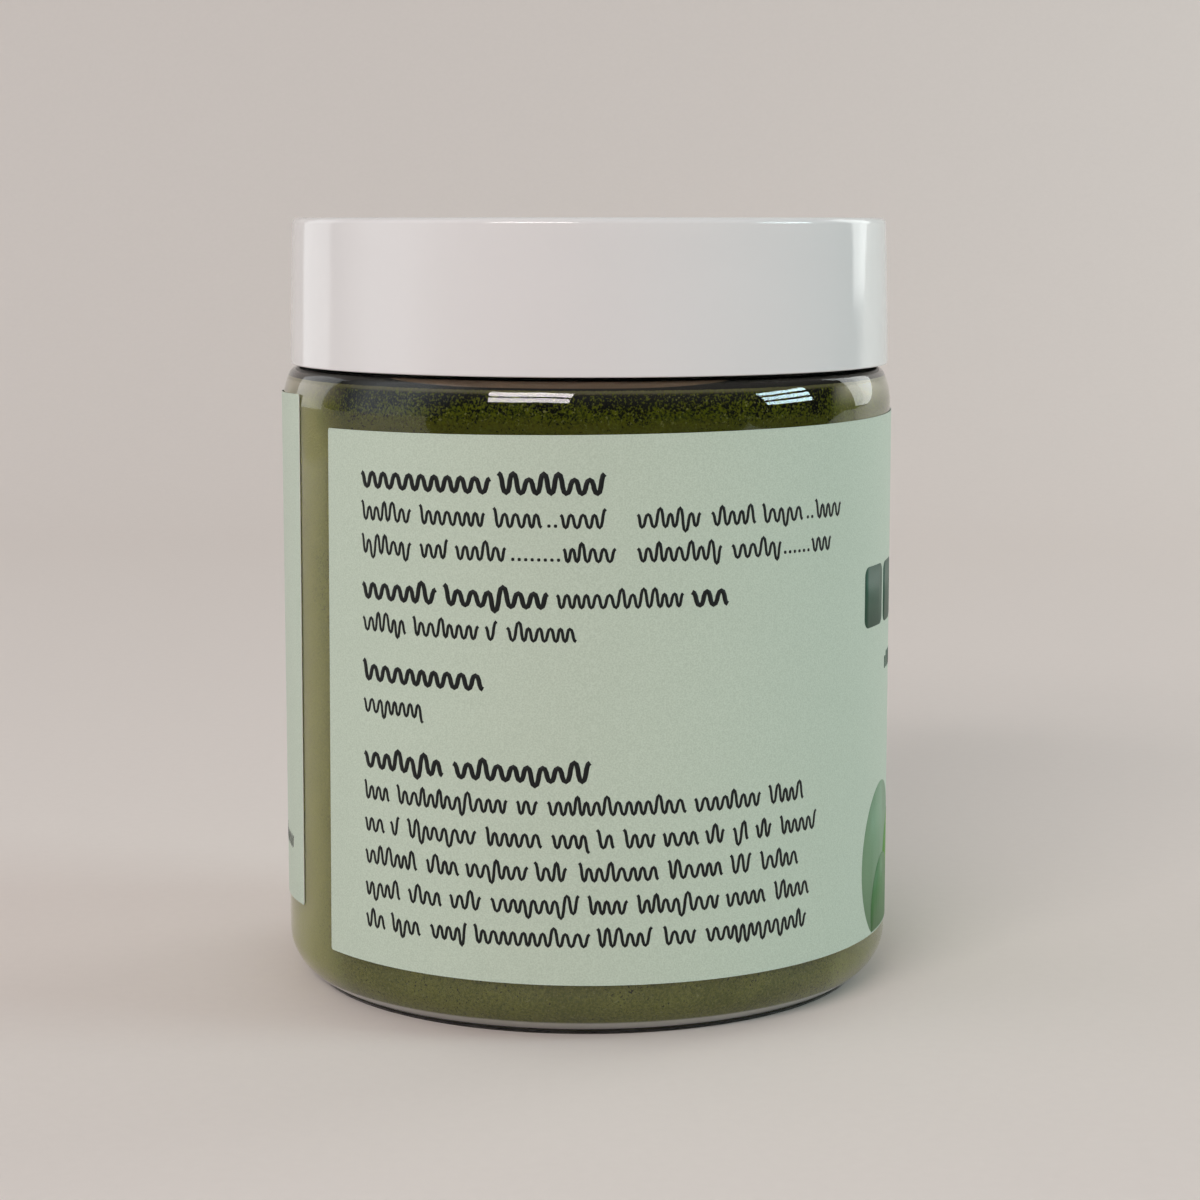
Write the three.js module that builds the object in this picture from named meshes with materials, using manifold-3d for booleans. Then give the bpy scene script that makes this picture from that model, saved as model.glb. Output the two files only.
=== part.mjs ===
// A clear straight-sided jar of ground leaf powder, with a white screw lid and one paper label
// wrapped round it.
//
// Millimetres, +Z up. The origin is the middle of the base, on the surface that the jar stands on.
// The label's front faces -Y. An angle round the jar is counted from there towards +X.

import * as THREE from "three";
import { mergeVertices } from "three/addons/utils/BufferGeometryUtils.js";
import Module from "manifold-3d";

const { clamp, degToRad, lerp } = THREE.MathUtils;

// Driving dimensions.
const bodyRadius = 36.5;
const wallThickness = 0.75;
const floorThickness = 1.2;

const footRadius = 33.2;
const footHeight = 0.5;
const footWidth = 4.2;
const heelWidth = 4.6;
const heelHeight = 5;
const pushUpHeight = 2.2;

const shoulderStart = 69.6;
const shoulderHeight = 4;
const shoulderWidth = 2;

const neckRadius = 33.4;
const neckWall = 0.9;
const neckTop = 89.1;
const neckRimBevel = 0.3;

const lidBottom = 73.9;
const lidTop = 91.1;
const lidBottomRadius = 35.92;
const lidTopRadius = 35.5;
const lidSkirtInnerRadius = 34.9;
const lidTopThickness = 1.6;
const lidEdgeRounding = 0.8;
const lidRimBevel = 0.2;

const threadPitch = 4.233;
const threadTurns = 1.2;
const threadStart = 81.5;
const threadRootWidth = 2.4;
const threadCrestWidth = 1;
const neckThreadRadius = 34.55;
const lidThreadRadius = 33.75;
const threadRunOut = 20;
const threadSink = 0.4;

const powderGap = 0.3;
const powderLevel = 71.9;
const powderMound = 0.2;
const powderRelief = 0.28;
const powderLumpWaves = 26;
const powderLumpSize = [5, 12];
const powderSeed = 7212;

const labelGap = 0.15;
const labelThickness = 0.2;
// Angle of the label's two ends at their foot and head, in degrees.
const labelStart = { foot: -53.9, head: -52.8 };
const labelEnd = { foot: 294.1, head: 295.3 };
// Height of its lower and upper edge where it starts, and the even and the growing part of each
// edge's climb from there to its end.
const labelLower = { start: 6.8, climb: -2.5, bend: 6.1 };
const labelUpper = { start: 67.5, climb: 1.55, bend: 1.85 };

// Fineness of the round forms.
const stepsRound = 72;
const stepDegrees = 360 / stepsRound;
const outerCornerSteps = 6;
const innerCornerSteps = 4;
const domeSteps = 3;
const powderRings = 9;
const tolerance = 1e-4;

const heelCentre = bodyRadius - heelWidth;
const heelTop = footHeight + heelHeight;
const shoulderCentre = bodyRadius - shoulderWidth;
const footInner = footRadius - footWidth;

const manifold = await Module();
manifold.setup();

// Points of an elliptical arc in the radius-height plane, from one angle to another.
function arc(centreRadius, centreHeight, width, height, fromDegrees, toDegrees, steps) {
  return Array.from({ length: steps + 1 }, (_, i) => {
    const turn = degToRad(lerp(fromDegrees, toDegrees, i / steps));
    const radius = centreRadius + width * Math.cos(turn);
    return new THREE.Vector2(radius, centreHeight + height * Math.sin(turn));
  });
}

// A profile of radius and height turned round the jar's axis, with a side facet at each step.
function turned(profile) {
  return new THREE.LatheGeometry(profile, stepsRound).rotateX(Math.PI / 2);
}

// A strip bent round the jar's axis. place(along, up, out) takes the strip's length, height and
// thickness, each from 0 to 1, and gives an angle in degrees, a height and a radius.
function wrapped(steps, place) {
  const strip = new THREE.BoxGeometry(1, 1, 1, steps, 1, 1);
  const corner = strip.getAttribute("position");
  for (let i = 0; i < corner.count; i++) {
    const unit = [corner.getX(i), corner.getY(i), corner.getZ(i)].map((value) => value + 0.5);
    const { angle, height, radius } = place(...unit);
    const turn = degToRad(angle);
    corner.setXYZ(i, radius * Math.sin(turn), -radius * Math.cos(turn), height);
  }
  return strip;
}

// A closed surface as a solid that can be joined.
function solidOf(geometry) {
  const bare = geometry.clone();
  bare.deleteAttribute("normal");
  bare.deleteAttribute("uv");
  const welded = mergeVertices(bare, tolerance);
  const triVerts = new Uint32Array(welded.index.array);
  const vertProperties = welded.getAttribute("position").array;
  return new manifold.Manifold(new manifold.Mesh({ numProp: 3, vertProperties, triVerts }));
}

// Two closed surfaces fused into one.
function fused(first, second) {
  const mesh = solidOf(first).add(solidOf(second)).getMesh();
  const geometry = new THREE.BufferGeometry();
  geometry.setAttribute("position", new THREE.BufferAttribute(mesh.vertProperties, 3));
  geometry.setIndex(new THREE.BufferAttribute(mesh.triVerts, 1));
  geometry.computeVertexNormals();
  return geometry;
}

// A screw ridge on a round wall, trapezoid in section, that rises towards +angle and fades into
// the wall at both ends. Its crest stands outside the wall on the neck and inside it in the lid.
function threadRidge(wallRadius, crestRadius, startHeight) {
  const outwards = Math.sign(crestRadius - wallRadius);
  const rootRadius = wallRadius - outwards * threadSink;
  const hiddenCrest = wallRadius - (outwards * threadSink) / 2;
  const degrees = 360 * threadTurns;
  const steps = Math.round(degrees / stepDegrees);
  return wrapped(steps, (along, up, out) => {
    const nearestEnd = Math.min(along, 1 - along) * degrees;
    const crest = lerp(hiddenCrest, crestRadius, Math.min(1, nearestEnd / threadRunOut));
    const atCrest = outwards > 0 ? out : 1 - out;
    const width = lerp(threadRootWidth, threadCrestWidth, atCrest);
    return {
      angle: along * degrees,
      height: startHeight + along * threadTurns * threadPitch + (up - 0.5) * width,
      radius: lerp(rootRadius, crest, atCrest),
    };
  });
}

// Height of the shallow dome pushed up into the base, at a radius inside the foot.
function pushUpAt(radius) {
  return pushUpHeight * (1 - (radius / footInner) ** 2);
}

// The shallow dome from the axis to the foot, lifted by a distance.
function dome(lift) {
  return Array.from({ length: domeSteps + 1 }, (_, i) => {
    const radius = (footInner * i) / domeSteps;
    return new THREE.Vector2(radius, pushUpAt(radius) + lift);
  });
}

// Outline of the jar's inside, a gap in from its surface, from the axis over the floor and up the
// wall to a place on the shoulder's curve.
function cavity(gap, shoulderDegrees) {
  const inset = wallThickness + gap;
  const lift = floorThickness + gap;
  const heel = [heelCentre, heelTop, heelWidth - inset, heelTop - lift];
  const shoulder = [shoulderCentre, shoulderStart, shoulderWidth - inset, shoulderHeight - inset];
  return [
    ...dome(lift),
    ...arc(...heel, -90, 0, innerCornerSteps),
    ...arc(...shoulder, 0, shoulderDegrees, innerCornerSteps),
  ];
}

// Blow-moulded jar: domed base on a low foot, round heel above it, straight wall, short curved
// shoulder, and an open neck with one turn of screw thread.
function makeJar() {
  const neckInner = neckRadius - neckWall;
  const shoulderTop = shoulderStart + shoulderHeight;
  const heel = [heelCentre, heelTop, heelWidth, heelHeight];
  const footTurn = -THREE.MathUtils.radToDeg(Math.acos((footRadius - heelCentre) / heelWidth));
  const shoulder = [shoulderCentre, shoulderStart, shoulderWidth, shoulderHeight];
  const body = turned([
    ...dome(0),
    new THREE.Vector2(footRadius, 0),
    ...arc(...heel, footTurn, 0, outerCornerSteps),
    ...arc(...shoulder, 0, 90, outerCornerSteps),
    new THREE.Vector2(neckRadius, shoulderTop),
    new THREE.Vector2(neckRadius, neckTop - neckRimBevel),
    new THREE.Vector2(neckRadius - neckRimBevel, neckTop),
    new THREE.Vector2(neckInner + neckRimBevel, neckTop),
    new THREE.Vector2(neckInner, neckTop - neckRimBevel),
    new THREE.Vector2(neckInner, shoulderTop - wallThickness),
    ...cavity(0, 90).reverse(),
  ]);
  return fused(body, threadRidge(neckRadius, neckThreadRadius, threadStart));
}

// Screw lid: flat top with a rounded edge, a smooth skirt that narrows a little upwards, and a
// thread ridge inside that lies half a pitch under the neck's own.
function makeLid() {
  const underside = lidTop - lidTopThickness;
  const skirtTop = lidTop - lidEdgeRounding;
  const skirtSteps = 4;
  const skirt = Array.from({ length: skirtSteps }, (_, i) => {
    const rise = i / skirtSteps;
    const radius = lerp(lidBottomRadius, lidTopRadius, rise ** 2);
    return new THREE.Vector2(radius, lerp(lidBottom + lidRimBevel, skirtTop, rise));
  });
  const topEdge = [lidTopRadius - lidEdgeRounding, skirtTop, lidEdgeRounding, lidEdgeRounding];
  const body = turned([
    new THREE.Vector2(0, underside),
    new THREE.Vector2(lidSkirtInnerRadius - lidEdgeRounding, underside),
    new THREE.Vector2(lidSkirtInnerRadius, underside - lidEdgeRounding),
    new THREE.Vector2(lidSkirtInnerRadius, lidBottom + lidRimBevel),
    new THREE.Vector2(lidSkirtInnerRadius + lidRimBevel, lidBottom),
    new THREE.Vector2(lidBottomRadius - lidRimBevel, lidBottom),
    ...skirt,
    ...arc(...topEdge, 0, 90, outerCornerSteps),
    new THREE.Vector2(0, lidTop),
  ]);
  const ridgeStart = threadStart - threadPitch / 2;
  return fused(body, threadRidge(lidSkirtInnerRadius, lidThreadRadius, ridgeStart));
}

// The same random number from 0 to 1 at each call in turn, from a seed.
function seededRandom(seed) {
  let state = seed;
  return () => {
    state = (Math.imul(state, 1664525) + 1013904223) >>> 0;
    return state / 2 ** 32;
  };
}

// Uneven height of the settled powder's surface, mostly between -1 and 1: waves of a few
// millimetres that run in every direction and add up to lumps.
function powderLumps() {
  const random = seededRandom(powderSeed);
  const spread = Math.sqrt(powderLumpWaves / 2);
  const waves = Array.from({ length: powderLumpWaves }, () => {
    const heading = random() * 2 * Math.PI;
    const rate = (2 * Math.PI) / lerp(...powderLumpSize, random());
    return {
      x: rate * Math.cos(heading),
      y: rate * Math.sin(heading),
      phase: random() * 2 * Math.PI,
    };
  });
  const crestAt = (x, y) => (wave) => Math.sin(wave.x * x + wave.y * y + wave.phase);
  return (x, y) => waves.map(crestAt(x, y)).reduce((sum, crest) => sum + crest) / spread;
}

// Powder that fills the jar to just above the start of its shoulder. Its top is lumpy, a little
// higher in the middle, and level where it meets the wall.
function makePowder() {
  const arcHeight = shoulderHeight - wallThickness - powderGap;
  const edgeTurn = Math.asin((powderLevel - shoulderStart) / arcHeight);
  const side = cavity(powderGap, THREE.MathUtils.radToDeg(edgeTurn));
  const edgeRadius = side.at(-1).x;
  const top = Array.from({ length: powderRings }, (_, i) => {
    const radius = edgeRadius * (1 - (i + 1) / powderRings);
    return new THREE.Vector2(radius, powderLevel);
  });
  const heap = turned([...side, ...top]);
  const corner = heap.getAttribute("position");
  const lumps = powderLumps();
  const ringWidth = edgeRadius / powderRings;
  for (let i = 0; i < corner.count; i++) {
    const [x, y, z] = [corner.getX(i), corner.getY(i), corner.getZ(i)];
    const onTop = powderLevel - z < tolerance;
    const inside = onTop ? clamp((edgeRadius - Math.hypot(x, y)) / ringWidth, 0, 1) : 0;
    corner.setZ(i, z + inside * (powderMound + powderRelief * lumps(x, y)));
  }
  heap.computeVertexNormals();
  return heap;
}

// Label: one sheet of paper that runs nearly all the way round the wall and climbs a little on
// its way, so that its far end stands higher than its near end beside a narrow gap. Its columns
// lie on the wall's facets, and only its two ends lie between them.
function makeLabel() {
  const first = Math.floor(labelStart.foot / stepDegrees);
  const columns = Math.round(labelEnd.foot / stepDegrees) - first;
  const columnAngle = (column, up) => {
    if (column === 0) return lerp(labelStart.foot, labelStart.head, up);
    if (column === columns) return lerp(labelEnd.foot, labelEnd.head, up);
    return (first + column) * stepDegrees;
  };
  const edgeHeight = (edge, share) => edge.start + edge.climb * share + edge.bend * share ** 2;
  return wrapped(columns, (along, up, out) => ({
    angle: columnAngle(Math.round(along * columns), up),
    height: lerp(edgeHeight(labelLower, along), edgeHeight(labelUpper, along), up),
    radius: bodyRadius + labelGap + labelThickness * out,
  }));
}

const clearPlastic = new THREE.MeshStandardMaterial({
  color: 0xe6ebe4,
  roughness: 0.05,
  metalness: 0,
  transparent: true,
  opacity: 0.3,
});
const whitePlastic = new THREE.MeshStandardMaterial({
  color: 0xefeae6,
  roughness: 0.25,
  metalness: 0,
});
const leafPowder = new THREE.MeshStandardMaterial({
  color: 0x5e6233,
  roughness: 0.95,
  metalness: 0,
});
const mintPaper = new THREE.MeshStandardMaterial({
  color: 0xc8d3c2,
  roughness: 0.6,
  metalness: 0,
});

function piece(name, geometry, material) {
  const mesh = new THREE.Mesh(geometry, material);
  mesh.name = name;
  return mesh;
}

const group = new THREE.Group();
group.add(
  piece("jar", makeJar(), clearPlastic),
  piece("lid", makeLid(), whitePlastic),
  piece("powder", makePowder(), leafPowder),
  piece("label", makeLabel(), mintPaper),
);

export default group;
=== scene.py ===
# A clear screw-top jar of spinach powder, with a white screw lid and a pale green paper label that
# runs nearly all the way round it. It is put together in the order jar, powder, lid, label and
# print. Then come the table, the lamps and the camera.
#
# Metres, +Z up. The origin is the middle of the base, on the surface that the jar stands on. The
# label's front faces -Y, and an angle round the jar is counted from there towards +X.

import math
import random

import bmesh
import bpy
from mathutils import Euler, Matrix, Vector, noise


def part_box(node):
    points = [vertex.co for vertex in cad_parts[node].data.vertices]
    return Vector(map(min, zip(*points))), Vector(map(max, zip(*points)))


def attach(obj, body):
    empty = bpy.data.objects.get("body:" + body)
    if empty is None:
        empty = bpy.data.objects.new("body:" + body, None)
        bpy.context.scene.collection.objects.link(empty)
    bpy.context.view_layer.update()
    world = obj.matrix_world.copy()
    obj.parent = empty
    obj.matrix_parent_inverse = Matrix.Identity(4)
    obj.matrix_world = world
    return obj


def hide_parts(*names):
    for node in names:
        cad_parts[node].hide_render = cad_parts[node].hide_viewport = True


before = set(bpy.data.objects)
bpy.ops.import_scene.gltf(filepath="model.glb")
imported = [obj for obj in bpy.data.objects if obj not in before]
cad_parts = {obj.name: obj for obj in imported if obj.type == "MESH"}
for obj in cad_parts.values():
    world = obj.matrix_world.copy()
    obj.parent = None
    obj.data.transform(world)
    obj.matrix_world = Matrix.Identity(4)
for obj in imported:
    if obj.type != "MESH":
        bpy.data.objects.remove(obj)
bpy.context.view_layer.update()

mm = 0.001

# ---- Jar -----------------------------------------------------------------------------------------
# Blow-moulded in clear polyester: a low foot round a shallow dome, a round heel above it, a
# straight wall, a steep shoulder with soft corners, and an open neck with one turn of thread.
# The wall's outline, outside and inside, is turned round the axis.

body_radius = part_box("jar")[1].x
neck_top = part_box("jar")[1].z
wall_thickness = 0.75 * mm
floor_thickness = 1.2 * mm
foot_radius = 33.2 * mm
foot_rounding = 0.2 * mm
foot_inner = 29 * mm
foot_inner_rounding = 0.6 * mm
heel_start = 0.5 * mm
heel_corner = 1.65 * mm
heel_rounding = 3.5 * mm
inner_heel_rounding = 4.25 * mm
dome_height = 2.2 * mm
dome_edge = foot_inner / 2
dome_rounding = foot_inner * 0.45
shoulder_break = 71.25 * mm
shoulder_rounding = 1.8 * mm
shoulder_top = 73.6 * mm
shoulder_edge = 35.3 * mm
shoulder_edge_rounding = 0.8 * mm
shoulder_wall = 0.45 * mm
shoulder_lean = 0.4 * mm
inner_break_drop = 0.2 * mm
inner_break_rounding = 1.2 * mm
neck_radius = 33.4 * mm
neck_wall = 0.9 * mm
rim_rounding = 0.3 * mm
neck_foot_rounding = 0.5 * mm
inner_corner_rounding = 0.4 * mm
thread_pitch = 4.233 * mm
thread_turns = 1.2
thread_start = 81.5 * mm
thread_crest_radius = 34.55 * mm
thread_root_width = 2.4 * mm
thread_crest_width = 1 * mm
thread_run_out = math.radians(25)
thread_sink = 0.4 * mm

round_steps = 240
corner_steps = 8
weld = 0.001 * mm


def outline(corners):
    """A chain of edges through corners, each a radius, a height and the size of its rounding."""
    form = bmesh.new()
    chain = [form.verts.new((radius, 0, height)) for radius, height, rounding in corners]
    for start, end in zip(chain, chain[1:]):
        form.edges.new((start, end))
    for point, (radius, height, rounding) in zip(chain, corners):
        if rounding:
            round_off(form, [point], rounding, corner_steps)
    return form


def round_off(form, points, rounding, steps):
    """Bevels corner points into arcs."""
    bmesh.ops.bevel(
        form, geom=points, offset=rounding, offset_type="OFFSET", segments=steps,
        profile=0.5, affect="VERTICES", material=-1,
    )


def turn(form):
    """Turns an outline round the jar's axis into a closed skin."""
    bmesh.ops.spin(
        form, geom=form.verts[:] + form.edges[:], cent=(0, 0, 0), axis=(0, 0, 1),
        angle=2 * math.pi, steps=round_steps, use_merge=True,
    )
    close_up(form)


def close_up(form):
    """Merges doubled points, and turns every face outwards."""
    bmesh.ops.remove_doubles(form, verts=form.verts, dist=weld)
    bmesh.ops.recalc_face_normals(form, faces=form.faces)


def wrap(form):
    """Bends a flat form round the jar. Its x is a length along the wall, and -y a radius."""
    for point in form.verts:
        angle = point.co.x / body_radius
        radius = -point.co.y
        point.co.x = radius * math.sin(angle)
        point.co.y = -radius * math.cos(angle)


def add_thread(form, wall_radius, crest_radius, start):
    """Adds a screw ridge that fades into the wall at both ends. Its crest stands outside the wall
    on the neck and inside it in the lid."""
    ridge = bmesh.new()
    bmesh.ops.create_cube(ridge, size=1)
    along = [edge for edge in ridge.edges if edge.verts[0].co.x * edge.verts[1].co.x < 0]
    length = 2 * math.pi * thread_turns * body_radius
    steps = round(round_steps * thread_turns / 2)
    bmesh.ops.subdivide_edges(ridge, edges=along, cuts=steps - 1, use_grid_fill=True)
    outwards = math.copysign(1, crest_radius - wall_radius)
    root = wall_radius - outwards * thread_sink
    hidden = wall_radius - outwards * thread_sink / 2
    for point in ridge.verts:
        share, depth, up = point.co.x + 0.5, point.co.y, point.co.z
        from_end = min(share, 1 - share) * 2 * math.pi * thread_turns
        fade = min(1, from_end / thread_run_out)
        crest = hidden + (crest_radius - hidden) * math.sin(fade * math.pi / 2)
        at_crest = depth * outwards < 0
        width = thread_crest_width if at_crest else thread_root_width
        point.co.x = share * length
        point.co.y = -(crest if at_crest else root)
        point.co.z = start + share * thread_turns * thread_pitch + up * width
    wrap(ridge)
    close_up(ridge)
    fuse(form, ridge)


def fuse(form, other):
    """Joins another closed form to this one, and lets go of the other."""
    parts = []
    for source in (form, other):
        mesh = bpy.data.meshes.new("part")
        source.to_mesh(mesh)
        part = bpy.data.objects.new("part", mesh)
        frame_scene.collection.objects.link(part)
        parts.append(part)
    union = parts[0].modifiers.new("union", "BOOLEAN")
    union.operation = "UNION"
    union.solver = "MANIFOLD"
    union.object = parts[1]
    joined = parts[0].evaluated_get(bpy.context.evaluated_depsgraph_get()).to_mesh()
    form.clear()
    form.from_mesh(joined)
    for part in parts:
        bpy.data.meshes.remove(part.data)
    other.free()


def piece(name, form, *finishes):
    """Makes a finished form an object, with smooth faces."""
    mesh = bpy.data.meshes.new(name)
    form.to_mesh(mesh)
    form.free()
    mesh.shade_smooth()
    for finish in finishes:
        mesh.materials.append(finish.material)
    made = bpy.data.objects.new(name, mesh)
    frame_scene.collection.objects.link(made)
    return made


def even_shine(made):
    """Keeps flat faces flat in their shine, with all the bend in the roundings between them."""
    shine = made.modifiers.new("even shine", "WEIGHTED_NORMAL")
    shine.keep_sharp = True


class Shade:
    """A number or a colour on its way through a finish. Sums of numbers add Math nodes."""

    def __init__(self, finish, socket):
        self.finish = finish
        self.socket = socket

    def math(self, operation, first, second):
        return self.finish.node("Math", {"operation": operation}, {0: first, 1: second})

    def __add__(self, other):
        return self.math("ADD", self, other)

    def __sub__(self, other):
        return self.math("SUBTRACT", self, other)

    def __rsub__(self, other):
        return self.math("SUBTRACT", other, self)

    def __mul__(self, other):
        return self.math("MULTIPLY", self, other)

    __radd__ = __add__
    __rmul__ = __mul__


class Finish:
    """A surface finish, or the room's light, built node by node."""

    def __init__(self, name, shelf=bpy.data.materials):
        self.material = shelf.new(name)
        self.material.use_nodes = True
        self.material.node_tree.nodes.clear()

    def node(self, kind, settings, sockets, output=0):
        """Adds a node. A colour ramp's stops are among its settings."""
        made = self.material.node_tree.nodes.new("ShaderNode" + kind)
        for name, value in settings.items():
            if name == "stops":
                self.set_stops(made.color_ramp.elements, value)
            else:
                setattr(made, name, value)
        for key, value in sockets.items():
            if isinstance(value, Shade):
                self.material.node_tree.links.new(value.socket, made.inputs[key])
            else:
                made.inputs[key].default_value = value
        return Shade(self, made.outputs[output]) if made.outputs else None

    def set_stops(self, elements, stops):
        while len(elements) < len(stops):
            elements.new(1)
        for element, (position, colour) in zip(elements, stops):
            element.position = position
            element.color = colour

    def place(self):
        return self.node("TexCoord", {}, {}, output="Object")

    def height(self):
        return self.node("SeparateXYZ", {}, {"Vector": self.place()}, output="Z")

    def clouds(self, size, detail=2.0, roughness=0.5, seed=0.0):
        """Soft random patches of about a size, from 0 to 1."""
        sockets = {
            "Vector": self.place(), "W": seed, "Scale": 1 / size, "Detail": detail,
            "Roughness": roughness,
        }
        return self.node("TexNoise", {"noise_dimensions": "4D"}, sockets)

    def step(self, value, low, high):
        """A value's way from low to high, as a smooth rise from 0 to 1."""
        sockets = {"Value": value, "From Min": low, "From Max": high}
        return self.node("MapRange", {"interpolation_type": "SMOOTHSTEP"}, sockets)

    def mix(self, share, first, second):
        """Two colours, mixed."""
        sockets = {"Factor": share, 6: first, 7: second}
        return self.node("Mix", {"data_type": "RGBA"}, sockets, output=2)

    def bump(self, height, distance, strength=1.0):
        sockets = {"Height": height, "Distance": distance, "Strength": strength}
        return self.node("Bump", {}, sockets, output="Normal")

    def surface(self, sockets):
        shader = self.node("BsdfPrincipled", {}, sockets)
        self.node("OutputMaterial", {}, {"Surface": shader})


def screen_colour(red, green, blue):
    """A colour given by its values on a screen, from 0 to 255, as light."""
    linear = [
        value / 255 / 12.92 if value <= 10 else ((value / 255 + 0.055) / 1.055) ** 2.4
        for value in (red, green, blue)
    ]
    return (*linear, 1)


frame_scene = bpy.context.scene

neck_inner = neck_radius - neck_wall
inner_radius = body_radius - wall_thickness
inner_shoulder_top = shoulder_top - shoulder_wall
inner_break = shoulder_break - inner_break_drop
jar_form = outline([
    (0, dome_height, 0),
    (dome_edge, dome_height, dome_rounding),
    (foot_inner, 0, foot_inner_rounding),
    (foot_radius, 0, foot_rounding),
    (foot_radius, heel_start, 0),
    (body_radius, heel_corner, heel_rounding),
    (body_radius, shoulder_break, shoulder_rounding),
    (shoulder_edge, shoulder_top, shoulder_edge_rounding),
    (neck_radius, shoulder_top, rim_rounding),
    (neck_radius, neck_top, rim_rounding),
    (neck_inner, neck_top, rim_rounding),
    (neck_inner, inner_shoulder_top, neck_foot_rounding),
    (shoulder_edge - shoulder_lean, inner_shoulder_top, inner_corner_rounding),
    (inner_radius, inner_break, inner_break_rounding),
    (inner_radius, floor_thickness, inner_heel_rounding),
    (foot_inner, floor_thickness, inner_corner_rounding),
    (dome_edge, dome_height + floor_thickness, dome_rounding),
    (0, dome_height + floor_thickness, 0),
])
turn(jar_form)
add_thread(jar_form, neck_radius, thread_crest_radius, thread_start)

clear_plastic = Finish("clear plastic")
mould_ripple = clear_plastic.clouds(9 * mm, detail=1)
clear_plastic.surface({
    "Base Color": (0.97, 0.98, 0.965, 1),
    "Roughness": 0.02,
    "IOR": 1.57,
    "Transmission Weight": 1,
    "Normal": clear_plastic.bump(mould_ripple, 0.1 * mm),
})

jar_shell = piece("jar_shell", jar_form, clear_plastic)
even_shine(jar_shell)
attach(jar_shell, "root")
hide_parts("jar")

# ---- Powder --------------------------------------------------------------------------------------
# Ground dried spinach leaf, settled in the jar up to the start of its shoulder. It is turned like
# the jar and reaches just into the wall. Its top is lumpy, and a thin rim of it lies on the
# shoulder, where painted highlight, shadow and reflection stand for what shows under the lid.

powder_level = 72 * mm
powder_overlap = 0.1 * mm
dust_rim = 1.4 * mm
dust_rim_rounding = 0.3 * mm
powder_mound = 0.2 * mm
mound_edge = 3 * mm
powder_rings = 70
lump_size = 6 * mm
lump_height = 0.55 * mm
crumb_size = 1.3 * mm
crumb_height = 0.2 * mm
crumb_shift = Vector((7, 3, 1))

powder_radius = inner_radius + powder_overlap
powder_edge = powder_radius - dust_rim
powder_floor = floor_thickness - powder_overlap
rim_edge = shoulder_edge - shoulder_lean + powder_overlap
top_rings = [powder_edge * (1 - ring / powder_rings) for ring in range(1, powder_rings)]
powder_form = outline([
    (0, dome_height + powder_floor, 0),
    (dome_edge, dome_height + powder_floor, dome_rounding),
    (foot_inner, powder_floor, inner_corner_rounding),
    (powder_radius, powder_floor, inner_heel_rounding),
    (powder_radius, inner_break, inner_break_rounding),
    (rim_edge, inner_shoulder_top + powder_overlap, dust_rim_rounding),
    (powder_edge, inner_shoulder_top, 0),
    (powder_edge, powder_level, 0),
    *[(radius, powder_level, 0) for radius in top_rings],
    (0, powder_level, 0),
])
turn(powder_form)
for grain in powder_form.verts:
    inwards = powder_edge - math.hypot(grain.co.x, grain.co.y)
    if grain.co.z > powder_level - weld and inwards > 0:
        flat_place = Vector((grain.co.x, grain.co.y, 0))
        lumps = noise.noise(flat_place / lump_size) * lump_height
        crumbs = noise.noise(flat_place / crumb_size + crumb_shift) * crumb_height
        grain.co.z += min(1, inwards / mound_edge) * (powder_mound + lumps + crumbs)

leaf_powder = Finish("leaf powder")
height_up = leaf_powder.height()
sideways = leaf_powder.node("SeparateXYZ", {}, {"Vector": leaf_powder.place()}, output="X")
fine_grain = leaf_powder.clouds(0.3 * mm, detail=3, roughness=0.7)
settled = leaf_powder.clouds(7 * mm, detail=3) - 0.5
clumps = leaf_powder.clouds(2.6 * mm, detail=3, roughness=0.6, seed=3) - 0.5
crumbling = leaf_powder.clouds(0.26 * mm, detail=3, roughness=0.7, seed=8) - 0.5
specks = leaf_powder.clouds(0.34 * mm, detail=2, roughness=0.6, seed=12)


def ragged_rise(place, pattern, band):
    """A rise from 0 to 1 over a band of places, whose edge wavers with a pattern."""
    return leaf_powder.step(place + pattern * band["waver"], band["from"], band["to"])


def paint(share, under, colour, strength=1):
    """Lays a colour over another, for a share of the surface."""
    return leaf_powder.mix(share * strength, under, colour)


# Packed powder, low down: grains of olive with pale specks, warmer towards the top.
olive_deep = screen_colour(102, 106, 40)
olive = screen_colour(146, 148, 68)
olive_pale = screen_colour(172, 172, 108)
olive_warm = screen_colour(96, 98, 16)
warm_band = {"from": 64 * mm, "to": 69 * mm, "waver": 4 * mm}
grain_share = leaf_powder.step(fine_grain + settled * 0.4, 0.3, 0.66)
packed = leaf_powder.mix(grain_share, olive_deep, olive)
packed = paint(leaf_powder.step(specks, 0.62, 0.7), packed, olive_pale, strength=0.6)
packed = paint(ragged_rise(height_up, settled, warm_band), packed, olive_warm, strength=0.7)

# Loose powder, near the top: yellow and green grains. Black flecks of painted shade, for gaps
# between the lumps and the wall, thicken upwards.
leaf_green = screen_colour(42, 56, 1)
leaf_yellow = screen_colour(110, 118, 12)
painted_shade_black = screen_colour(14, 17, 4)
loose_band = {"from": 67.6 * mm, "to": 70.2 * mm, "waver": 3 * mm}
shade_fleck_band = {"from": 68.5 * mm, "to": 71.5 * mm, "waver": 7 * mm}
looseness = ragged_rise(height_up, clumps, loose_band)
shade_fleck_reach = ragged_rise(height_up, clumps, shade_fleck_band)
shade_flecks = leaf_powder.step(crumbling + shade_fleck_reach * 0.17 + settled * 0.2, 0.1, 0.14)
loose = leaf_powder.mix(leaf_powder.step(crumbling, -0.08, 0.06), leaf_yellow, leaf_green)
loose = paint(leaf_powder.step(clumps, -0.05, 0.12), loose, olive_warm, strength=0.4)
loose = paint(leaf_powder.step(specks, 0.6, 0.66), loose, olive_pale, strength=0.7)
powder_colour = paint(shade_flecks, leaf_powder.mix(looseness, packed, loose), painted_shade_black)
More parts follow.
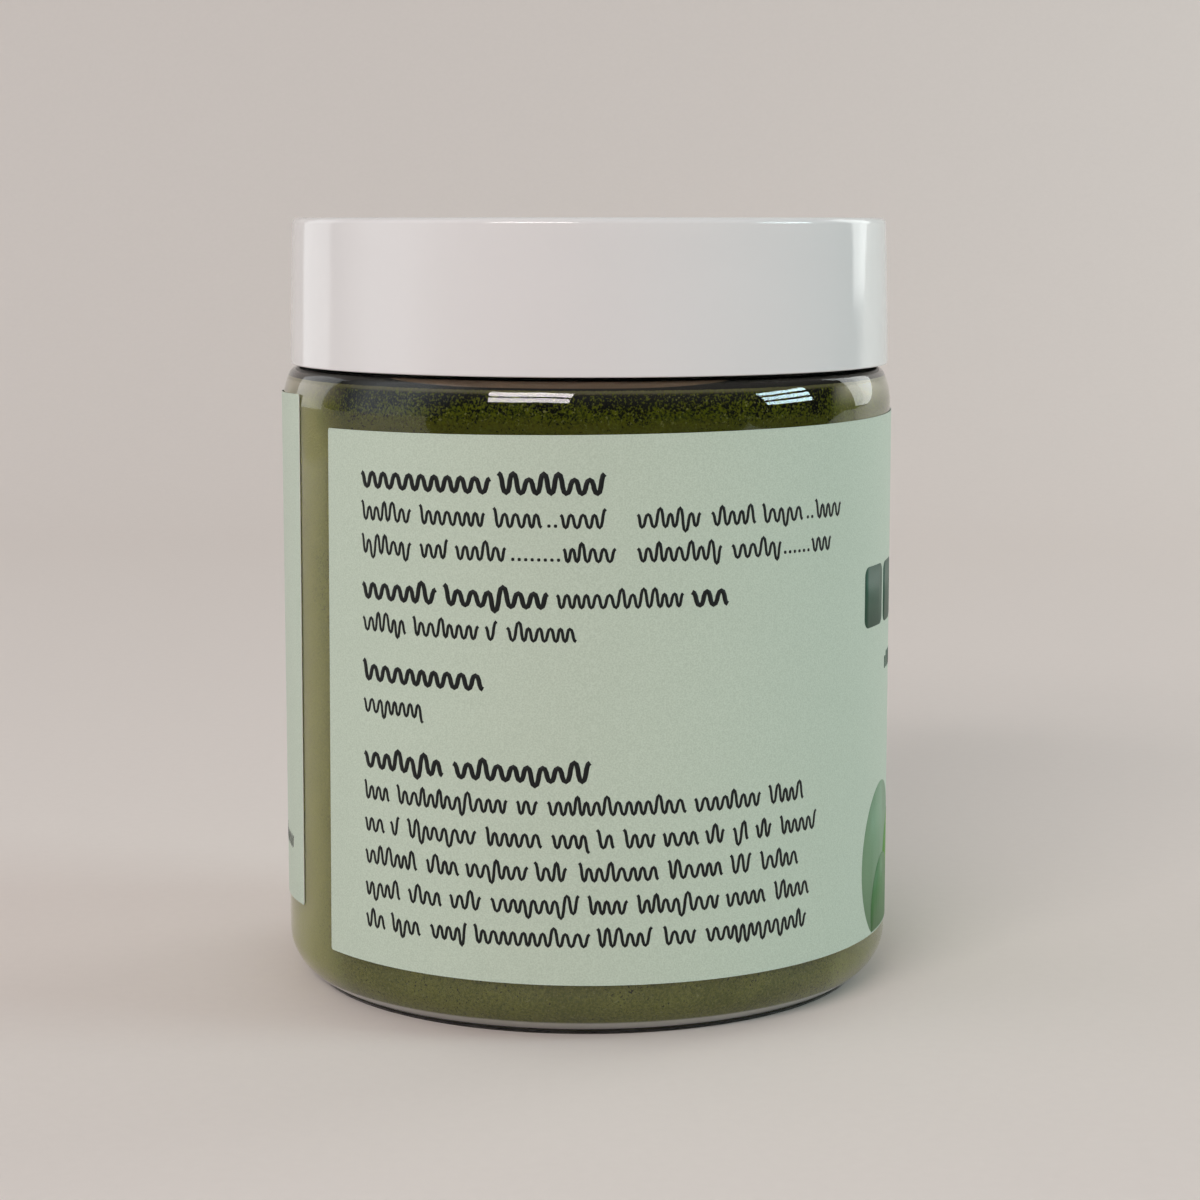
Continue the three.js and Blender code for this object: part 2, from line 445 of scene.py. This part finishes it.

# A painted reflection pales the wall at both sides. It is paler high up, and stronger there on the
# right.
reflection_olive = screen_colour(202, 202, 124)
reflection_pale = screen_colour(238, 230, 200)
reflection_top = (69 * mm, 72 * mm)
left_reflection_edge = {"from": -33 * mm, "to": -26 * mm, "waver": 4 * mm}
right_reflection_edge = {"from": 27.3 * mm, "to": 29.3 * mm, "waver": 2 * mm}
high_up = leaf_powder.step(height_up, *reflection_top)
left_reflection = 1 - ragged_rise(sideways, settled, left_reflection_edge)
right_reflection = ragged_rise(sideways, settled, right_reflection_edge)
side_reflection = left_reflection * 0.85 + right_reflection * (0.3 + high_up * 0.6)
powder_colour = paint(side_reflection, powder_colour, leaf_powder.mix(high_up, reflection_olive, reflection_pale))

# On the shoulder: a beige line of painted highlight, a dark line of painted shadow over it, and
# over both a brown lens of painted reflection, for what shows under the lid.
painted_highlight_beige = screen_colour(150, 144, 96)
rim_shadow = screen_colour(24, 24, 12)
painted_reflection_brown = screen_colour(134, 110, 86)
beige_line = {"from": 71.9 * mm, "to": 72.2 * mm, "waver": 0.8 * mm}
dark_line = {"from": 72.34 * mm, "to": 72.42 * mm, "waver": 0.2 * mm}
lens_edge = (72.6 * mm, 72.66 * mm)
lens_middle = -3 * mm
lens_reach = 18 * mm
lens_rise = 0.5 * mm
off_middle = (sideways - lens_middle) * (1 / lens_reach)
off_middle_square = off_middle * off_middle
lens = leaf_powder.step(height_up - off_middle_square * off_middle_square * lens_rise, *lens_edge)
beige_share = ragged_rise(height_up, crumbling, beige_line)
dark_share = ragged_rise(height_up, crumbling, dark_line)
powder_colour = paint(beige_share, powder_colour, painted_highlight_beige, strength=0.6)
powder_colour = paint(dark_share, powder_colour, rim_shadow)
powder_colour = paint(lens, powder_colour, painted_reflection_brown)

# At the heel a pale line of painted highlight stands for the light in the thick plastic, and under
# it painted shadow darkens the powder seen through the foot.
painted_heel_highlight = screen_colour(248, 246, 240)
heel_line_top = (1.85 * mm, 2.1 * mm)
foot_top = (1.2 * mm, 1.3 * mm)
powder_colour = paint(1 - leaf_powder.step(height_up, *heel_line_top), powder_colour, painted_heel_highlight)
powder_colour = paint(1 - leaf_powder.step(height_up, *foot_top), powder_colour, painted_shade_black)
leaf_powder.surface({
    "Base Color": powder_colour,
    "Roughness": 0.95,
    "Specular IOR Level": 0.2,
    "Normal": leaf_powder.bump(fine_grain, 0.12 * mm),
})

powder_fill = piece("powder_fill", powder_form, leaf_powder)
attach(powder_fill, "root")
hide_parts("powder")

# ---- Lid -----------------------------------------------------------------------------------------
# Injection-moulded in white polypropylene: a smooth skirt that narrows a little upwards, a small
# round at the top edge, a thread ridge inside, and the mark of the gate in the middle of the top.

lid_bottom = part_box("lid")[0].z
lid_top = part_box("lid")[1].z
lid_bottom_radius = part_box("lid")[1].x - 0.1 * mm
lid_bottom_rounding = 0.2 * mm
lid_top_radius = 35.4 * mm
lid_top_rounding = 0.7 * mm
lid_waist_radius = 35.72 * mm
lid_waist_rounding = 5 * mm
lid_skirt_inner = 34.9 * mm
lid_inner_rounding = 0.8 * mm
lid_edge_rounding = 0.15 * mm
lid_top_thickness = 1.6 * mm
lid_thread_radius = 33.85 * mm
lid_play = 0.3 * mm
gate_radius = 2.2 * mm
gate_floor_radius = 1.76 * mm
gate_depth = 0.25 * mm
gate_rounding = 0.15 * mm
gate_stub_foot_radius = 0.55 * mm
gate_stub_foot_rounding = 0.1 * mm
gate_stub_head_radius = 0.44 * mm
gate_stub_head_rounding = 0.05 * mm
gate_stub_depth = 0.1 * mm

lid_middle = (lid_bottom + lid_top) / 2
lid_underside = lid_top - lid_top_thickness
lid_form = outline([
    (0, lid_underside, 0),
    (lid_skirt_inner, lid_underside, lid_inner_rounding),
    (lid_skirt_inner, lid_bottom, lid_edge_rounding),
    (lid_bottom_radius, lid_bottom, lid_bottom_rounding),
    (lid_waist_radius, lid_middle, lid_waist_rounding),
    (lid_top_radius, lid_top, lid_top_rounding),
    (gate_radius, lid_top, gate_rounding),
    (gate_floor_radius, lid_top - gate_depth, gate_rounding),
    (gate_stub_foot_radius, lid_top - gate_depth, gate_stub_foot_rounding),
    (gate_stub_head_radius, lid_top - gate_stub_depth, gate_stub_head_rounding),
    (0, lid_top - gate_stub_depth, 0),
])
turn(lid_form)
add_thread(lid_form, lid_skirt_inner, lid_thread_radius, thread_start - thread_pitch / 2)
bmesh.ops.translate(lid_form, verts=lid_form.verts, vec=(lid_play, 0, 0))

white_plastic = Finish("white plastic")
mould_waves = white_plastic.clouds(14 * mm, detail=1, seed=2)
faint_texture = white_plastic.clouds(0.8 * mm, detail=2, seed=5)
white_plastic.surface({
    "Base Color": white_plastic.mix(
        mould_waves, screen_colour(233, 232, 231), screen_colour(236, 235, 234)
    ),
    "Roughness": 0.07 + 0.05 * faint_texture,
    "IOR": 1.49,
    "Subsurface Weight": 0.15,
    "Subsurface Radius": (1 * mm, 1 * mm, 1 * mm),
    "Subsurface Scale": 1,
    "Normal": white_plastic.bump(mould_waves, 0.12 * mm),
})

lid_shell = piece("lid_shell", lid_form, white_plastic)
even_shine(lid_shell)
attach(lid_shell, "root")
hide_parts("lid")

# ---- Label ---------------------------------------------------------------------------------------
# One sheet of coated paper with a pale green print, glued to the wall. Its edges climb on their
# way round, so its two ends lie skew beside a narrow gap. The cut edges show the white paper.

label_air = 0.02 * mm
paper_thickness = 0.12 * mm
label_corner = 0.3 * mm
label_corner_steps = 5
label_near_end = {"foot": -53.9, "head": -52.8}
label_far_end = {"foot": 294.1, "head": 295.3}
label_lower = {"start": 6.8 * mm, "climb": -2.5 * mm, "bend": 6.1 * mm}
label_upper = {"start": 67.5 * mm, "climb": 1.55 * mm, "bend": 1.85 * mm}
strip_width = 1.25 * mm
paper_grain_size = 0.17 * mm

paper_radius = body_radius + label_air + paper_thickness
stand_up = Matrix.Rotation(math.pi / 2, 4, "X")


def sheet(form, left, right, low, high):
    """Adds an upright rectangle, on the front of the paper and still flat."""
    size = Matrix.Diagonal(((right - left) / 2, 1, (high - low) / 2, 1))
    middle = Matrix.Translation(((left + right) / 2, -paper_radius, (low + high) / 2))
    bmesh.ops.create_grid(
        form, x_segments=1, y_segments=1, size=1, matrix=middle @ size @ stand_up
    )


def cut_strips(form):
    """Cuts a flat form into upright strips, narrow enough to bend round the jar."""
    left = min(point.co.x for point in form.verts)
    right = max(point.co.x for point in form.verts)
    strips = max(1, math.ceil((right - left) / strip_width))
    for strip in range(1, strips):
        bmesh.ops.bisect_plane(
            form, geom=form.verts[:] + form.edges[:] + form.faces[:],
            plane_co=(left + (right - left) * strip / strips, 0, 0), plane_no=(1, 0, 0),
        )


def thicken(form, depth):
    """Gives a flat form a thickness, outwards from the jar for a depth over 0."""
    front = bmesh.ops.extrude_face_region(form, geom=form.faces[:], use_keep_orig=True)
    moved = [item for item in front["geom"] if isinstance(item, bmesh.types.BMVert)]
    bmesh.ops.translate(form, verts=moved, vec=(0, -depth, 0))


def edge_height(edge, share):
    """The height of one of the label's edges, for a share of the way round."""
    return edge["start"] + edge["climb"] * share + edge["bend"] * share ** 2


label_length = math.radians(label_far_end["foot"] - label_near_end["foot"]) * body_radius
label_start = math.radians(label_near_end["foot"]) * body_radius
label_height = label_upper["start"] - label_lower["start"]
near_lean = math.radians(label_near_end["head"] - label_near_end["foot"]) * body_radius
label_form = bmesh.new()
sheet(label_form, label_start, label_start + label_length, 0, label_height)
round_off(label_form, label_form.verts[:], label_corner, label_corner_steps)
cut_strips(label_form)
for point in label_form.verts:
    along = (point.co.x - label_start) / label_length
    up = point.co.z / label_height
    point.co.x += near_lean * up
    low, high = edge_height(label_lower, along), edge_height(label_upper, along)
    point.co.z = low + (high - low) * up
thicken(label_form, -paper_thickness)
label_form.normal_update()
for face in label_form.faces:
    is_printed_face = abs(face.normal.y) > 0.5
    face.material_index = 0 if is_printed_face else 1
wrap(label_form)
close_up(label_form)

mint_paper = Finish("mint paper")
paper_grain = mint_paper.clouds(paper_grain_size, detail=2, roughness=0.6)
paper_cloud = mint_paper.clouds(16 * mm, detail=3, seed=4)
mint = mint_paper.mix(paper_cloud, screen_colour(200, 214, 197), screen_colour(205, 219, 202))
# The grain's low specks are darker, a painted shade of the paper's fine emboss beside its bump.
speck_shade_mint = screen_colour(188, 203, 185)
mint_paper.surface({
    "Base Color": mint_paper.mix(mint_paper.step(paper_grain, 0.35, 0.65), speck_shade_mint, mint),
    "Roughness": 0.45,
    "Specular IOR Level": 0.4,
    "Normal": mint_paper.bump(paper_grain, 0.03 * mm),
})
cut_paper = Finish("cut paper")
cut_paper.surface({
    "Base Color": cut_paper.mix(
        cut_paper.clouds(0.6 * mm), screen_colour(214, 216, 206), screen_colour(238, 238, 232)
    ),
    "Roughness": 0.9,
})

label_paper = piece("label_paper", label_form, mint_paper, cut_paper)
even_shine(label_paper)
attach(label_paper, "root")
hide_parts("label")

# ---- Rows of small print -------------------------------------------------------------------------
# Printed in near-black ink. Each word is one wavy line, with here and there a taller or a deeper
# wave, and nothing in it is a letter. A short row stands on the far end of the label too.

ink_thickness = 0.012 * mm
ink_sink = 0.004 * mm
row_pitch = 3.72 * mm
left_margin = -27.5 * mm
second_column = 5.7 * mm
far_margin = 141 * mm
far_row_base = 16.4 * mm
word_gap = 0.95 * mm
dot_size = 0.36 * mm
dot_pitch = 0.72 * mm
tall_wave = 0.65 * mm
deep_wave = 0.55 * mm
tall_start_chance = 0.45
tall_chance = 0.2
deep_chance = 0.1
wave_points = 5
wave_linger = 0.5
dot_rounding = 0.35 * dot_size
dot_corner_steps = 3
plain_line = {"stroke": 0.4 * mm, "step": (0.46 * mm, 0.72 * mm), "height": 1.4 * mm}
bold_line = {"stroke": 0.64 * mm, "step": (0.74 * mm, 0.96 * mm), "height": 1.5 * mm}
paragraphs = [
    (left_margin, 61.4 * mm, [
        ["bold", 17, 12],
        [7.5, 8, 5.5, "dots", 2, 5, "tab", 7.5, 5.5, 6, "dots", 2, 5],
        [7.5, 3.5, 6, "dots", 8, 5.5, "tab", 10, 6.5, "dots", 6, 3.5],
    ]),
    (left_margin, 48.9 * mm, [
        ["bold", 10.5, 12, "plain", 14, "bold", 4.5],
        [6.5, 8, 1.5, 8],
    ]),
    (left_margin, 39.6 * mm, [
        ["bold", 16.5],
        [8.5],
    ]),
    (left_margin, 29.6 * mm, [
        ["bold", 11.5, 15.5],
        [4, 14, 2.5, 15.5, 8.5, 5.5],
        [3, 1.5, 9, 6.5, 4, 2, 3.5, 4, 2.5, 2, 2.5, 6],
        [8, 4, 7, 4, 9, 6.5, 3, 5.5],
        [5.5, 4.5, 4, 10, 4.5, 9.5, 5.5, 5.5],
        [3, 4.5, 4.5, 13, 6.5, 4, 14],
    ]),
    (far_margin, far_row_base, [[9, 5.5, 7.5, 10, 6]]),
]


def wavy_line(left, length, base, line, chance):
    """The points of one word, each a length along the wall and a height."""
    taller = tall_wave if chance.random() < tall_start_chance else 0
    turns = [(left, base + line["height"] + taller)]
    upwards = False
    while turns[-1][0] < left + length - line["step"][0]:
        if upwards:
            high = base + line["height"] + (tall_wave if chance.random() < tall_chance else 0)
        else:
            high = base - (deep_wave if chance.random() < deep_chance else 0)
        turns.append((turns[-1][0] + chance.uniform(*line["step"]), high))
        upwards = not upwards
    points = [turns[0]]
    for start, end in zip(turns, turns[1:]):
        for step in range(1, wave_points + 1):
            way = step / wave_points
            along = way + wave_linger * math.sin(2 * math.pi * way) / (2 * math.pi)
            up = (1 - math.cos(math.pi * way)) / 2
            points.append((
                start[0] + (end[0] - start[0]) * along,
                start[1] + (end[1] - start[1]) * up,
            ))
    return points


def add_lines(form, lines, stroke):
    """Draws lines of ink as flattened strokes on the front of the paper, still unbent."""
    pen = bpy.data.curves.new("pen", "CURVE")
    pen.dimensions = "3D"
    pen.bevel_depth = stroke / 2
    pen.bevel_resolution = 1
    pen.use_fill_caps = True
    for points in lines:
        path = pen.splines.new("POLY")
        path.points.add(len(points) - 1)
        for mark, (along, up) in zip(path.points, points):
            mark.co = (along, 0, up, 1)
    holder = bpy.data.objects.new("pen", pen)
    strokes = bmesh.new()
    strokes.from_mesh(holder.to_mesh())
    bmesh.ops.scale(strokes, verts=strokes.verts, vec=(1, ink_thickness / (stroke / 2), 1))
    bmesh.ops.translate(strokes, verts=strokes.verts, vec=(0, -paper_radius, 0))
    flat = bpy.data.meshes.new("strokes")
    strokes.to_mesh(flat)
    form.from_mesh(flat)
    strokes.free()
    bpy.data.objects.remove(holder)
    bpy.data.curves.remove(pen)
    bpy.data.meshes.remove(flat)


def add_dots(form, left, base, count):
    """Sets a row of small square dots, and gives the place where it ends."""
    for dot in range(count):
        sheet(form, left, left + dot_size, base, base + dot_size)
        left += dot_pitch
    return left


def lay_out(paragraphs, dots_form, chance):
    """Sets every paragraph's words and dots, and gives the lines of the plain and bold words."""
    lines = {"plain": [], "bold": []}
    for margin, first_base, rows in paragraphs:
        for number, words in enumerate(rows):
            left, base, weight = margin, first_base - number * row_pitch, "plain"
            words = iter(words)
            for word in words:
                if word == "tab":
                    left = second_column
                elif word == "dots":
                    left = add_dots(dots_form, left - word_gap / 2, base, next(words))
                elif word in lines:
                    weight = word
                else:
                    line = bold_line if weight == "bold" else plain_line
                    lines[weight].append(wavy_line(left, word * mm, base, line, chance))
                    left += word * mm + word_gap
    return lines


def print_on(form, depth=ink_thickness):
    """Turns flat shapes into a thin layer of ink on the paper, from a little way under its face."""
    bmesh.ops.translate(form, verts=form.verts, vec=(0, ink_sink, 0))
    thicken(form, depth + ink_sink)
    wrap(form)
    close_up(form)


print_seed = 7212
print_chance = random.Random(print_seed)
dots_form = bmesh.new()
lines = lay_out(paragraphs, dots_form, print_chance)
round_off(dots_form, dots_form.verts[:], dot_rounding, dot_corner_steps)
print_on(dots_form)
words_form = bmesh.new()
add_lines(words_form, lines["plain"], plain_line["stroke"])
add_lines(words_form, lines["bold"], bold_line["stroke"])
wrap(words_form)
close_up(words_form)


def ink(name, colour, deeper):
    """Flat printing ink, with a little of the paper's grain in its colour and shine."""
    made = Finish(name)
    grain = made.clouds(paper_grain_size, detail=2, roughness=0.6)
    made.surface({
        "Base Color": made.mix(grain, deeper, colour),
        "Roughness": 0.4 + 0.1 * grain,
        "Specular IOR Level": 0.3,
        "Normal": made.bump(grain, 0.02 * mm),
    })
    return made


def printed(name, form, finish):
    """Makes a form of ink a piece of the label."""
    made = piece(name, form, finish)
    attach(made, "root")


black_ink = ink("black ink", screen_colour(20, 25, 24), screen_colour(10, 13, 13))
printed("label_words", words_form, black_ink)
printed("label_dots", dots_form, black_ink)

# ---- Front panel ---------------------------------------------------------------------------------
# Printed round the right side of the jar: a big line of plain dark green blocks, a short line of
# small ones under it, and overlapping ovals in leaf greens that end at the label's lower edge.

name_left = 39.4 * mm
name_length = 48.8 * mm
name_low = 43.7 * mm
name_block = {
    "widths": (4.6 * mm, 6.6 * mm), "gap": 0.7 * mm, "height": 5.4 * mm, "tall": 1.8 * mm,
    "rounding": 1.1 * mm, "corner_steps": 6,
}
subtitle_left = 47.9 * mm
subtitle_length = 31.5 * mm
subtitle_low = 37.9 * mm
subtitle_block = {
    "widths": (0.7 * mm, 1.3 * mm), "gap": 0.3 * mm, "height": 1.5 * mm, "tall": 0.5 * mm,
    "rounding": 0.2 * mm, "corner_steps": 3,
}
tall_block_chance = 0.3
oval_edge_margin = 0.15 * mm
oval_steps = 64
# Each bank has its layer of ink and two greens. Each oval in it has a place along the wall, a
# height, half its width and half its height, in millimetres, and a lean in degrees.
oval_banks = [
    ("ovals_pale", 1, (134, 164, 134), (114, 148, 114), [
        (46.4, 15.2, 6.9, 9.4, 4), (61, 16.6, 6.6, 9.6, -5), (75.5, 15.4, 6.8, 9.2, 6),
        (89, 16, 6.2, 9, -4),
    ]),
    ("ovals_middle", 2, (122, 168, 88), (100, 146, 74), [
        (54, 12.4, 5.8, 7.6, -8), (68.4, 12, 6, 8, 5), (82.6, 12.6, 5.8, 7.8, -3),
    ]),
    ("ovals_deep", 3, (90, 138, 86), (74, 118, 70), [
        (47.6, 9.4, 4.9, 6.2, 10), (61.4, 9, 5.2, 6.4, -6), (75.6, 9.2, 5, 6, 8),
        (88.4, 9.6, 4.6, 6, 0),
    ]),
]


def add_blocks(form, left, length, base, block, chance):
    """Fills a length with upright, round-cornered blocks, some of them taller than the others."""
    right = left + length
    while left < right - block["widths"][0] / 2:
        width = min(chance.uniform(*block["widths"]), right - left)
        taller = block["tall"] if chance.random() < tall_block_chance else 0
        sheet(form, left, left + width, base, base + block["height"] + taller)
        left += width + block["gap"]
    round_off(form, form.verts[:], block["rounding"], block["corner_steps"])


def add_oval(form, along, up, half_width, half_height, lean):
    """Adds a flat oval on the front of the paper, still unbent. The lean is in degrees."""
    size = Matrix.Diagonal((half_width, half_height, 1, 1))
    tilt = Matrix.Rotation(math.radians(lean), 4, "Y")
    middle = Matrix.Translation((along, -paper_radius, up))
    bmesh.ops.create_circle(
        form, cap_ends=True, segments=oval_steps, radius=1, matrix=middle @ tilt @ stand_up @ size,
    )


def round_share(along):
    """How far round the label, from 0 to 1, a length along the wall lies."""
    return (along - label_start) / label_length


def cut_off_below(form):
    """Cuts away what would hang over the label's lower edge."""
    start, end = (
        Vector((along, 0, edge_height(label_lower, round_share(along)) + oval_edge_margin))
        for along in (name_left, name_left + name_length)
    )
    down = Vector((0, 1, 0)).cross(end - start)
    bmesh.ops.bisect_plane(
        form, geom=form.verts[:] + form.edges[:] + form.faces[:],
        plane_co=start, plane_no=down, clear_outer=True,
    )


green_ink = ink("dark green ink", screen_colour(46, 88, 68), screen_colour(38, 76, 58))
name_form = bmesh.new()
add_blocks(name_form, name_left, name_length, name_low, name_block, print_chance)
cut_strips(name_form)
print_on(name_form)
printed("name_blocks", name_form, green_ink)

subtitle_form = bmesh.new()
add_blocks(
    subtitle_form, subtitle_left, subtitle_length, subtitle_low, subtitle_block, print_chance
)
print_on(subtitle_form)
printed("subtitle_blocks", subtitle_form, green_ink)

for name, layer, colour, deeper, ovals in oval_banks:
    bank_form = bmesh.new()
    for along, up, half_width, half_height, lean in ovals:
        add_oval(bank_form, along * mm, up * mm, half_width * mm, half_height * mm, lean)
    cut_off_below(bank_form)
    cut_strips(bank_form)
    print_on(bank_form, layer * ink_thickness)
    printed(name, bank_form, ink(name, screen_colour(*colour), screen_colour(*deeper)))

# ---- Table and backdrop --------------------------------------------------------------------------
# A plain matt sheet of pale board. It lies flat under the jar, and sweeps up behind it in one
# round bend.

sweep_start = 0.45
sweep_height = 1.1
sweep_rounding = 0.3
sweep_steps = 24
floor_front = -0.55
floor_left = -1.6
floor_right = 1

backdrop_form = bmesh.new()
sweep_back = sweep_start + sweep_rounding
sweep = [
    backdrop_form.verts.new((floor_left, depth, height))
    for depth, height in ((floor_front, 0), (sweep_back, 0), (sweep_back, sweep_height))
]
for start, end in zip(sweep, sweep[1:]):
    backdrop_form.edges.new((start, end))
round_off(backdrop_form, [sweep[1]], sweep_rounding, sweep_steps)
across = bmesh.ops.extrude_edge_only(backdrop_form, edges=backdrop_form.edges[:])
far_side = [item for item in across["geom"] if isinstance(item, bmesh.types.BMVert)]
bmesh.ops.translate(backdrop_form, verts=far_side, vec=(floor_right - floor_left, 0, 0))
close_up(backdrop_form)

pale_board = Finish("pale board")
board_grain = pale_board.clouds(1.5 * mm, detail=3)
pale_board.surface({
    "Base Color": pale_board.mix(
        board_grain, screen_colour(231, 222, 216), screen_colour(235, 226, 220)
    ),
    "Roughness": 0.7,
    "Normal": pale_board.bump(board_grain, 0.03 * mm),
})
backdrop = piece("backdrop", backdrop_form, pale_board)

# ---- Light ---------------------------------------------------------------------------------------
# A room that is dark in front and pale overhead, a two-part softbox left of the camera, wide pale
# cards on the left, and on the right a cool window of three slats and an opening further round.

room_dark = 0.03
room_bright = 0.37
room_rise = (0.2, 0.75)
room_tint = (1, 0.95, 0.93, 1)
seen_brightness = 0.56
lamp_aim = Vector((0, 0, 0.05))

room = Finish("room", bpy.data.worlds)
overhead = room.node("SeparateXYZ", {}, {"Vector": room.node("TexCoord", {}, {}, "Generated")}, "Z")
glow = room_dark + (room_bright - room_dark) * room.step(overhead, *room_rise)
seen = room.node("LightPath", {}, {}, "Is Camera Ray")
brightness = glow + seen * (seen_brightness - glow)
sky = room.node("Background", {}, {"Color": room_tint, "Strength": brightness})
room.node("OutputWorld", {}, {"Surface": sky})
frame_scene.world = room.material


def add_lamp(name, azimuth, elevation, distance, width, height, power, colour):
    """A rectangular soft lamp that looks at the jar. Its azimuth counts from the camera's side
    towards +X."""
    lamp = bpy.data.lights.new(name, "AREA")
    lamp.shape = "RECTANGLE"
    lamp.size = width
    lamp.size_y = height
    lamp.energy = power
    lamp.color = colour
    made = bpy.data.objects.new(name, lamp)
    round_jar, rise = math.radians(azimuth), math.radians(elevation)
    level = math.cos(rise)
    way = Vector((math.sin(round_jar) * level, -math.cos(round_jar) * level, math.sin(rise)))
    made.location = lamp_aim + way * distance
    made.rotation_euler = way.to_track_quat("Z", "Y").to_euler()
    made.visible_camera = False
    frame_scene.collection.objects.link(made)


warm_white = (1.0, 0.93, 0.93)
pale_blue = (0.89, 0.96, 1.0)
cool_white = (0.72, 0.96, 1.0)
pale_green = (0.95, 0.98, 0.96)
left_cards = 6
card_gap = 0.02
card_growth = 0.18
window_slats = 3
slat_pitch = 5

add_lamp(
    "softbox_upper", azimuth=-22, elevation=34, distance=1.3,
    width=0.68, height=0.14, power=4.3, colour=warm_white,
)
add_lamp(
    "softbox_lower", azimuth=-22, elevation=26.2, distance=1.3,
    width=0.68, height=0.12, power=3.2, colour=warm_white,
)
for layer in range(left_cards):
    add_lamp(
        f"left_card_{layer + 1}", azimuth=-80, elevation=25, distance=1.2 + card_gap * layer,
        width=0.5 + card_growth * layer, height=1.3, power=0.47, colour=pale_blue,
    )
add_lamp(
    "left_back_card", azimuth=-126, elevation=15, distance=0.75,
    width=0.34, height=0.45, power=0.38, colour=pale_blue,
)
for slat in range(window_slats):
    add_lamp(
        f"window_slat_{slat + 1}", azimuth=81.5, elevation=14.5 + slat_pitch * slat,
        distance=1.3, width=0.52, height=0.07, power=1.68, colour=cool_white,
    )
add_lamp(
    "right_opening", azimuth=129, elevation=18, distance=1,
    width=0.38, height=0.6, power=1.7, colour=pale_green,
)

# ---- Camera --------------------------------------------------------------------------------------
# It stands in front of the label, as high as the lid's top and a third of a metre away, and is
# tilted down a little.

camera_place = (1.6 * mm, -340.5 * mm, 90.7 * mm)
camera_tilt = 7.669
camera_lens = 84.42
sensor_width = 36
nearest_seen = 0.01

camera = bpy.data.objects.new("camera", bpy.data.cameras.new("camera"))
camera.location = camera_place
camera.rotation_euler = Euler((math.radians(90 - camera_tilt), 0, 0))
camera.data.lens = camera_lens
camera.data.sensor_width = sensor_width
camera.data.clip_start = nearest_seen
frame_scene.collection.objects.link(camera)
frame_scene.camera = camera
frame_scene.view_settings.view_transform = "Standard"
